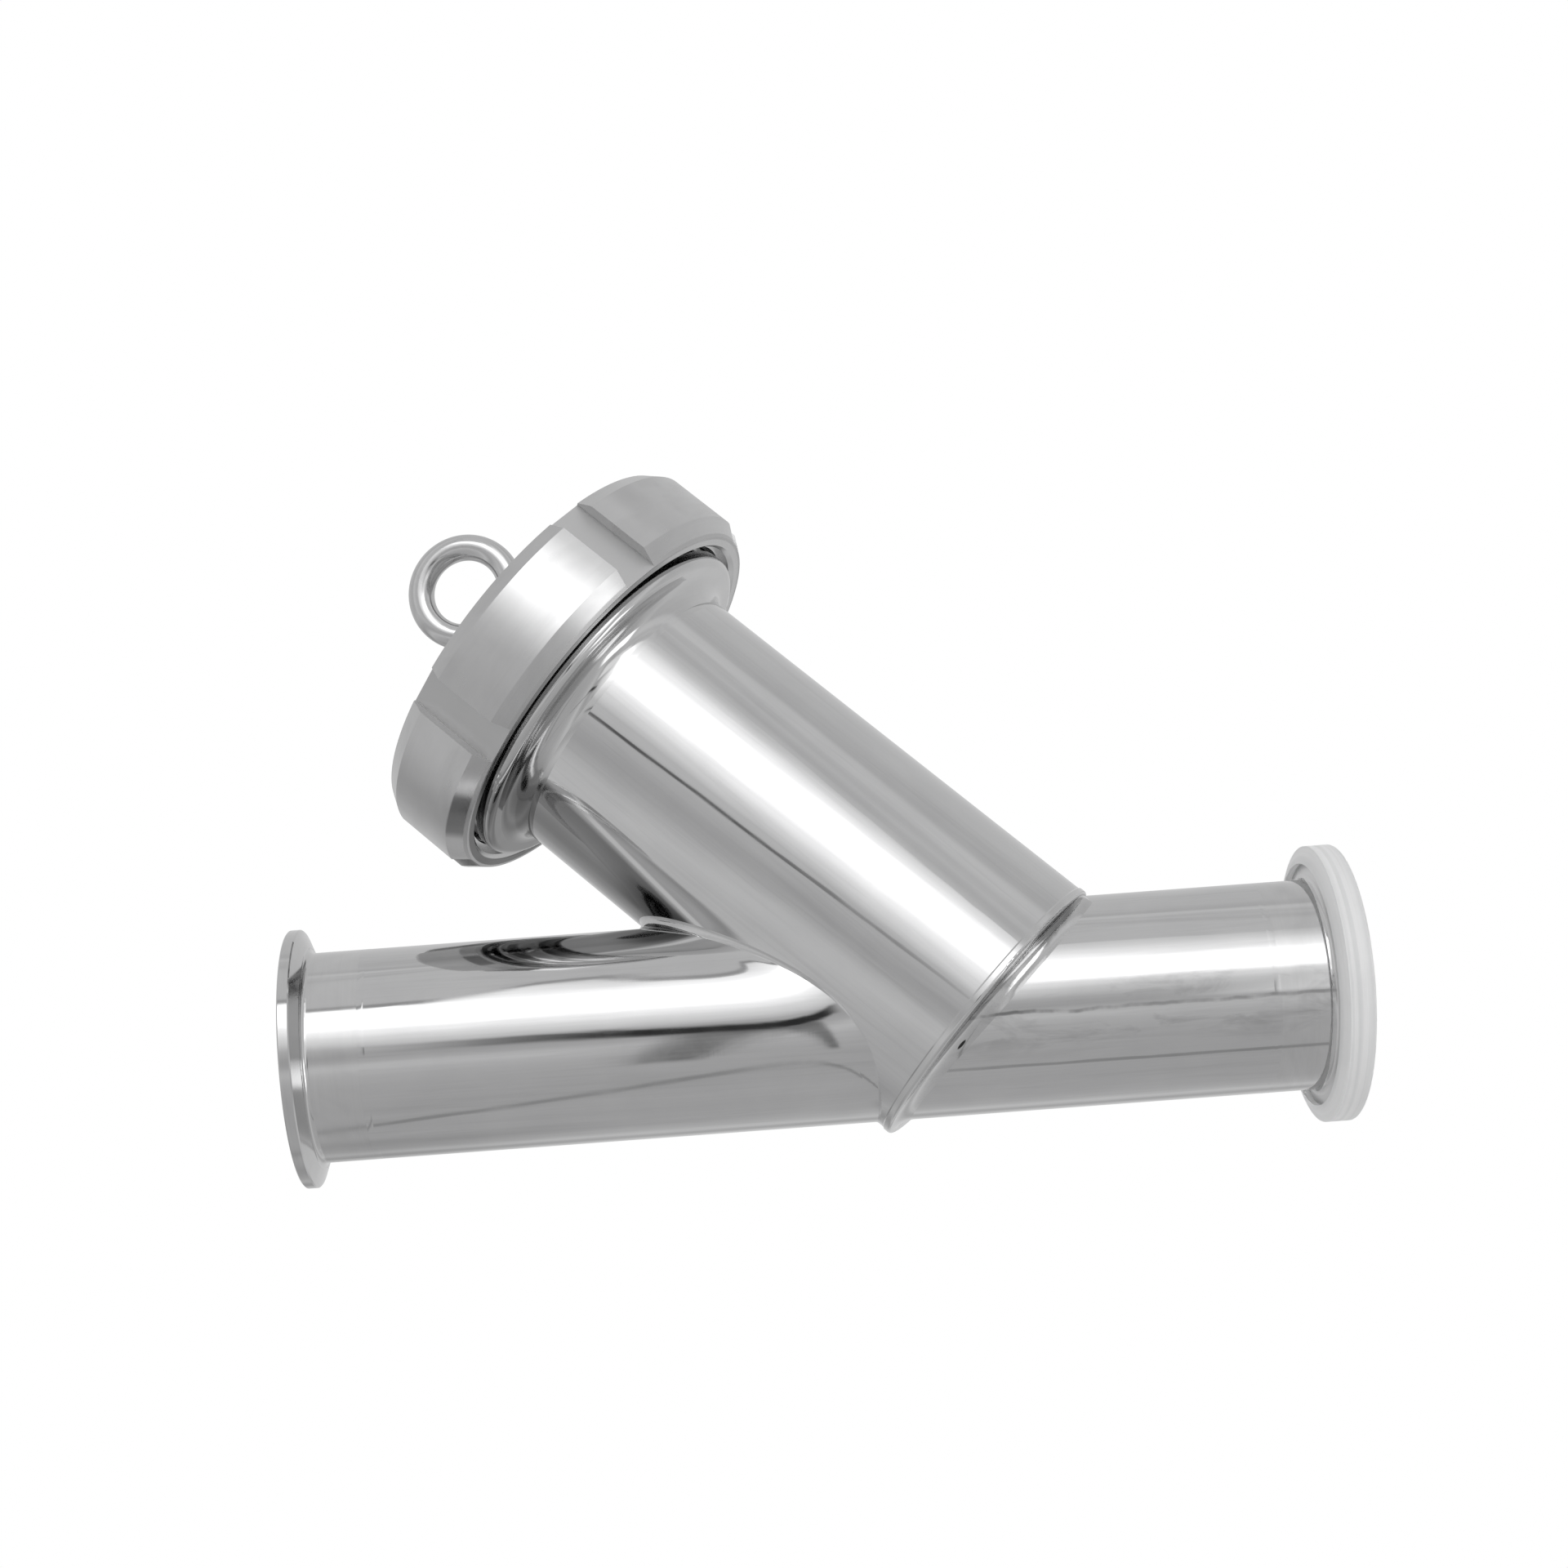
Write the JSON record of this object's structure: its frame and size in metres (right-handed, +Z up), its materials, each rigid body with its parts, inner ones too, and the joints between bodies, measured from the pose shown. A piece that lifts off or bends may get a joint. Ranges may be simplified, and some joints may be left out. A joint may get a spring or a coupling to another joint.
{
  "type": "y strainer",
  "caption": "Sanitary Y strainer: clamp-end run, 45 degree barrel with a perforated basket, and an eyed blank cap under a slotted round union nut.",
  "frame": {"origin": "centre of the outlet clamp face, on the run's axis", "axes": "+X along the run, from outlet to inlet; the barrel leans up and back towards -X at 45 degrees in the XZ plane; +Z up"},
  "size_m": [0.2577, 0.112, 0.1776],
  "materials": {
    "polished_steel": "mechanically polished stainless tube",
    "turned_polished_steel": "turned, then polished stainless",
    "turned_satin_steel": "satin turned stainless",
    "weld_steel": "ground and polished weld",
    "screen_steel": "pickled perforated stainless sheet",
    "mesh_steel": "fine woven stainless mesh",
    "seal_rubber": "moulded rubber",
    "gasket_silicone": "translucent white moulded silicone"
  },
  "bodies": {
    "housing": {"outlet_tube": "polished_steel", "outlet_ferrule": "turned_polished_steel", "inlet_tube": "polished_steel", "inlet_ferrule": "turned_polished_steel", "ferrule_welds": "weld_steel", "barrel_tube": "polished_steel", "end_plate": "polished_steel", "saddle_weld": "weld_steel", "mitre_weld": "weld_steel", "plate_weld": "weld_steel", "union_weld": "weld_steel", "union_male": "turned_polished_steel", "union_seal": "seal_rubber", "clamp_gasket": "gasket_silicone"},
    "basket": {"screen_tube": "screen_steel", "screen_mesh": "mesh_steel", "screen_top_ring": "screen_steel", "screen_bottom_ring": "screen_steel", "screen_seam": "screen_steel", "screen_bail": "screen_steel"},
    "cover": {"blank_cap": "turned_satin_steel", "eye_stem": "polished_steel", "eye_ring": "polished_steel"},
    "nut": {"round_nut": "turned_satin_steel"}
  },
  "joints": [
    {"name": "basket_pull", "type": "slide", "parent": "housing", "child": "basket", "axis": [-0.7071, 0, 0.7071], "range_m": [0, 0.19]},
    {"name": "cover_lift", "type": "slide", "parent": "basket", "child": "cover", "axis": [-0.7071, 0, 0.7071], "range_m": [0, 0.015]},
    {"name": "nut_turn", "type": "hinge", "parent": "cover", "child": "nut", "pos_m": [0.07278, 0, 0.09652], "axis": [-0.7071, 0, 0.7071], "range_deg": [0, 1275]}
  ],
  "couplings": [
    {"joint": "cover_lift", "follows": "nut_turn", "m_per_rad": 0.00067376}
  ]
}
